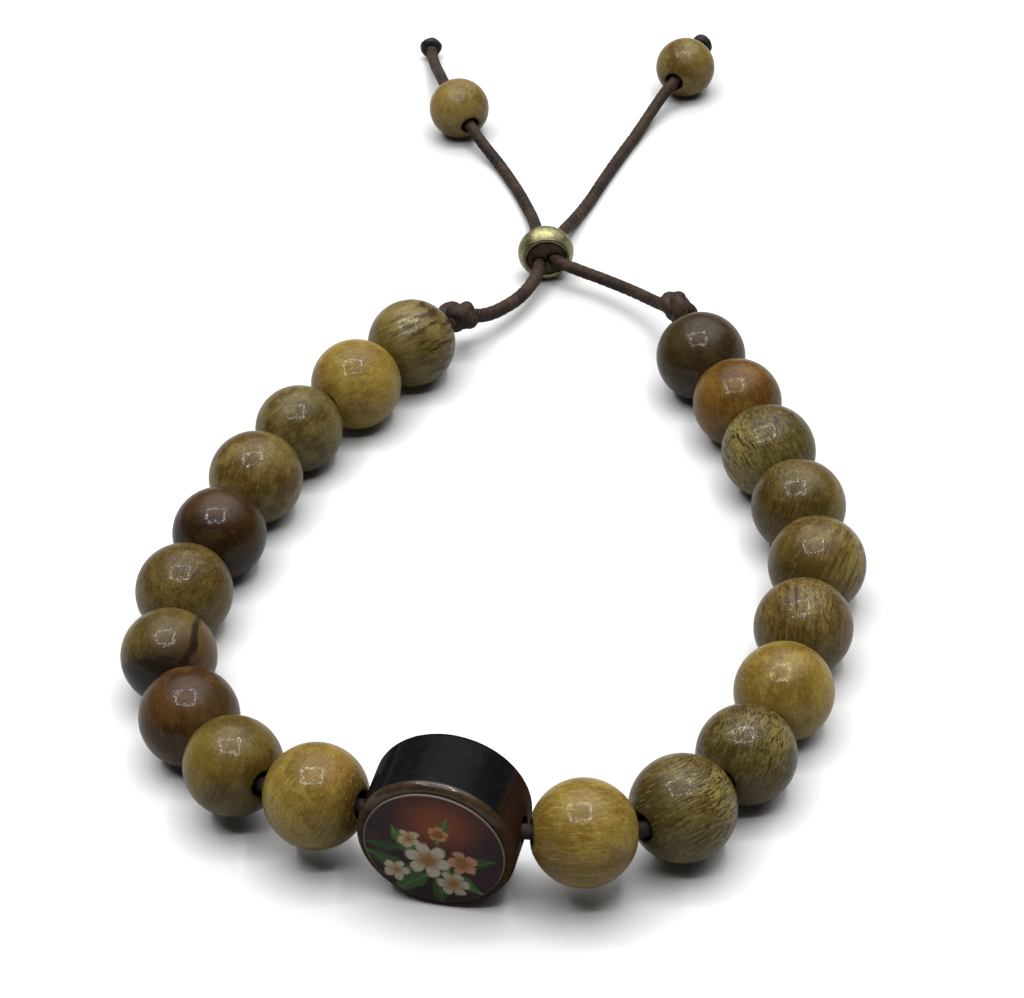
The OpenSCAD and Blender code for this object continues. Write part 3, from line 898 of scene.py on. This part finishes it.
def blossom(look, spot, row, colour):
    """Lays one blossom over a colour."""
    near = look.scaled(spot, (1 / row.size, 1 / row.size, 0),
                       shift=(-row.x / row.size, -row.y / row.size, 0))
    x, y, _ = look.split(near)
    away = look.length(near)
    angle = look.maths("ADD", look.maths("ARCTAN2", y, x), math.radians(row.turn))
    lobe = look.maths("ABSOLUTE", look.maths("COSINE", look.times(angle, row.petals / 2)))
    edge = look.maths("ADD", look.times(look.maths("POWER", lobe, 0.5), 0.5), 0.5)
    inside = look.step(look.maths("SUBTRACT", edge, away), -0.1, 0.12)
    petal = look.mix(look.step(away, 0.1, 0.75), linear(row.inner, 0.33), linear(row.outer, 0.35))
    petal = look.mix(look.step(lobe, 0.35, 0.0, 0, 0.6), petal, linear(row.inner, 0.2))
    petal = look.mix(look.step(away, 0.2, 0.12), petal, linear(HEART_TONE))
    return look.mix(inside, colour, petal)


def leaf(look, spot, row, colour):
    """Lays one leaf over a colour."""
    x, y, _ = look.split(look.laid(spot, row.x, row.y, row.angle))
    along = look.maths("DIVIDE", x, row.long)
    width = look.times(look.maths("SUBTRACT", 1.0, look.times(along, along)), row.wide)
    off = look.maths("ABSOLUTE", y)
    inside = look.step(look.maths("SUBTRACT", width, off), -0.02, 0.03)
    tone = look.mix(look.step(off, 0.004, 0.016), linear(row.colour, 1.3), linear(row.colour, 0.65))
    return look.mix(inside, colour, tone)


def print_look():
    look = Look("printed_picture")
    spot = look.seen_from(TABLET_AT, TABLET_AXES, PICTURE_D / 2)
    _, up, _ = look.split(spot)
    flat = look.scaled(spot, (1, 1, 0))
    cloud = look.noise(flat, 2.6, 4, 0.6)
    dust = look.noise(flat, 30.0, 2, 0.6)
    colour = look.between(cloud, 0.3, 0.7, GROUND_TONES)
    from_glow = look.length(look.scaled(spot, GLOW_SCALE, shift=GLOW_SHIFT))
    colour = look.mix(look.step(from_glow, *GLOW_R, 0, 0.7), colour, linear(GLOW_TONE))
    brushed = look.bent(flat, 6.0, 5.0, BRUSH_BEND)
    for row in LEAVES:
        colour = leaf(look, brushed, row, colour)
    for row in BLOSSOMS:
        colour = blossom(look, brushed, row, colour)
    colour = look.mix(look.step(dust, 0.35, 0.75, 0, 0.3), colour, linear(DUST_TONE))
    rim = look.times(look.step(look.length(flat), *RIM_R), look.step(up, *RIM_UP, 0.15, 0.85))
    colour = look.mix(rim, colour, linear(RIM_TONE))
    look.set(Base_Color=colour, Roughness=0.5, Specular_IOR_Level=0.05, Coat_Weight=0.08,
             Coat_Roughness=0.12, Coat_IOR=1.5)
    return look.material


nodes["picture"].material_slots[0].material = print_look()


# Slide bead: worn brass, darker inside HOLE_R, with dark tarnish in a groove of radius GROOVE_R
# that fades out between GROOVE_CORE and GROOVE_EDGE to either side
SLIDE_AT = Vector((6.7, 43.65, 2.75))
GROOVE_R = 2.22
GROOVE_CORE = 0.03
GROOVE_EDGE = 0.1
HOLE_R = (1.98, 1.9)
BRASS_TONES = ("69664a", "928e63")
TARNISH_TONE = "2f2a19"
HOLE_TONE = "3a301c"
GROOVE_TONE = "1f1b0f"
# Dark sleeve that grips the cords inside it. Its slot is two round holes of radius SLOT_R that meet
# in a narrow waist at SLOT_AT, SLOT_REACH to either side of it and tilted as the cords are.
SLEEVE_TONES = ("241c14", "41352a")
SLEEVE_D = 3.74
SLEEVE_LENGTH = 2.5
# Its front, from the outside (0) to the slot (1), and how far each point lies behind the foremost
SLEEVE_FRONT = [(0.0, 0.12), (0.2, 0.02), (0.6, 0.0), (0.9, 0.03), (1.0, 0.15)]
SLOT_AT = Vector((6.69, 43.65, 2.41))
SLOT_REACH = 0.76
SLOT_R = 0.68
SLOT_TILT = math.radians(14)
SLEEVE_TURNS = 72


def brass_look():
    look = Look("aged_brass_metal")
    spot = look.seen_from(SLIDE_AT, (Vector((1, 0, 0)), Vector((0, 1, 0)), Vector((0, 0, 1))), 1.0)
    from_axis = look.length(look.scaled(spot, (1, 0, 1)))
    cloud = look.noise(spot, 1.6, 4, 0.6)
    speck = look.noise(spot, 7.0, 3, 0.65)
    colour = look.between(cloud, 0.35, 0.7, BRASS_TONES)
    colour = look.mix(look.step(speck, 0.54, 0.64, 0, 0.8), colour, linear(TARNISH_TONE))
    inside = look.step(from_axis, *HOLE_R)
    colour = look.mix(look.times(inside, 0.7), colour, linear(HOLE_TONE))
    groove = look.times(look.step(from_axis, GROOVE_R - GROOVE_EDGE, GROOVE_R - GROOVE_CORE),
                        look.step(from_axis, GROOVE_R + GROOVE_EDGE, GROOVE_R + GROOVE_CORE))
    broken = look.step(cloud, 0.35, 0.5, 0.3, 0.9)
    colour = look.mix(look.times(groove, broken), colour, linear(GROOVE_TONE))
    look.set(Base_Color=colour, Metallic=0.9, Roughness=look.step(cloud, 0.3, 0.7, 0.36, 0.55),
             Normal=look.bump(speck, 0.25, 0.05))
    return look.material


nodes["slide_bead"].material_slots[0].material = brass_look()


def sleeve_look():
    look = Look("dark_sleeve")
    cloud = look.noise(look.place(), 900, 4, 0.6)
    look.set(Base_Color=look.between(cloud, 0.3, 0.7, SLEEVE_TONES), Roughness=0.7,
             Specular_IOR_Level=0.1, Normal=look.bump(cloud, 0.4, 0.08))
    return look.material


def sleeve_way(angle):
    """A direction across the sleeve, at an angle from the line through the two cords."""
    return Vector((math.cos(angle + SLOT_TILT), 0, math.sin(angle + SLOT_TILT)))


def add_sleeve():
    """A short plug along Y with a slot through it."""
    front = [(share, SLEEVE_LENGTH / 2 - back) for share, back in SLEEVE_FRONT]
    profile = front + [(share, -along) for share, along in reversed(front)]
    points = []
    for share, along in profile:
        for k in range(SLEEVE_TURNS):
            angle = math.tau * (k + 0.5) / SLEEVE_TURNS
            hole = 0.0 if math.cos(angle) > 0 else math.pi
            around = hole + 2 * (angle - hole)
            slot = SLOT_AT + sleeve_way(hole) * SLOT_REACH + sleeve_way(around) * SLOT_R
            point = (SLIDE_AT + sleeve_way(angle) * SLEEVE_D / 2).lerp(slot, share)
            points.append(point + Vector((0, along, 0)))
    faces = ring_faces(len(profile), SLEEVE_TURNS, closed=True)
    return add_piece("slide_sleeve", points, faces, sleeve_look())


add_sleeve()


# Floor, light and surround, in metres: a floor that grows paler away from the middle, four thin
# light strips round an oblong above it, and a sky that glows overhead, somewhat to the back. The
# glow starts where a direction's cosine to SKY_GLOW_AT passes the first number of SKY_EDGE and is
# full at the second.
FLOOR_HALF = 3.0
FLOOR_NEAR = 0.43
FLOOR_FAR = 0.75
FLOOR_FADE = (0.08, 0.26)
LIGHT_HEIGHT = 0.42
LIGHT_ACROSS = 0.30
LIGHT_ALONG = 0.26
LIGHT_WIDTH = 0.0095
LIGHT_AT = Vector((-0.038, -0.043, 0))
LIGHT_WATTS = 0.66
SKY_LOW = 0.07
SKY_HIGH = 5.0
SKY_GLOW_AT = (0.1, 0.33, 0.94)
SKY_EDGE = (0.62, 0.98)


def add_floor():
    mesh = bpy.data.meshes.new("floor")
    corners = [(-1, -1), (1, -1), (1, 1), (-1, 1)]
    mesh.from_pydata([(FLOOR_HALF * x, FLOOR_HALF * y, 0) for x, y in corners], [], [(0, 1, 2, 3)])
    look = Look("pale_floor")
    fade = look.step(look.length(look.place()), *FLOOR_FADE)
    tone = look.mix(fade, [FLOOR_NEAR] * 3 + [1], [FLOOR_FAR] * 3 + [1])
    look.set(Base_Color=tone, Roughness=0.9, Specular_IOR_Level=0.0)
    mesh.materials.append(look.material)
    floor = bpy.data.objects.new("floor", mesh)
    bpy.context.scene.collection.objects.link(floor)


def add_strip(name, at, turn, length):
    data = bpy.data.lights.new(name, "AREA")
    data.shape = "RECTANGLE"
    data.size = length
    data.size_y = LIGHT_WIDTH
    data.energy = LIGHT_WATTS
    strip = bpy.data.objects.new(name, data)
    bpy.context.scene.collection.objects.link(strip)
    strip.location = LIGHT_AT + at
    strip.rotation_euler = (0, 0, turn)
    strip.visible_camera = False


def add_sky():
    world = bpy.data.worlds.new("surround")
    world.use_nodes = True
    tree = world.node_tree
    place = tree.nodes.new("ShaderNodeTexCoord")
    toward = tree.nodes.new("ShaderNodeVectorMath")
    toward.operation = "DOT_PRODUCT"
    toward.inputs[1].default_value = SKY_GLOW_AT
    rise = tree.nodes.new("ShaderNodeMapRange")
    rise.interpolation_type = "SMOOTHSTEP"
    for title, value in zip(("From Min", "From Max", "To Min", "To Max"), SKY_EDGE + (SKY_LOW, SKY_HIGH)):
        rise.inputs[title].default_value = value
    ground = tree.nodes["Background"]
    ground.inputs["Color"].default_value = (1, 1, 1, 1)
    tree.links.new(place.outputs["Generated"], toward.inputs[0])
    tree.links.new(toward.outputs["Value"], rise.inputs["Value"])
    tree.links.new(rise.outputs[0], ground.inputs["Strength"])
    bpy.context.scene.world = world


add_floor()
add_sky()
for i in range(4):
    turn = math.pi / 2 * i
    length, reach = (LIGHT_ALONG, LIGHT_ACROSS) if i % 2 else (LIGHT_ACROSS, LIGHT_ALONG)
    out = Vector((-math.sin(turn), math.cos(turn), 0)) * reach / 2
    add_strip(f"light_strip_{i}", out + Vector((0, 0, LIGHT_HEIGHT)), turn, length)
bpy.context.scene.view_settings.view_transform = "Standard"
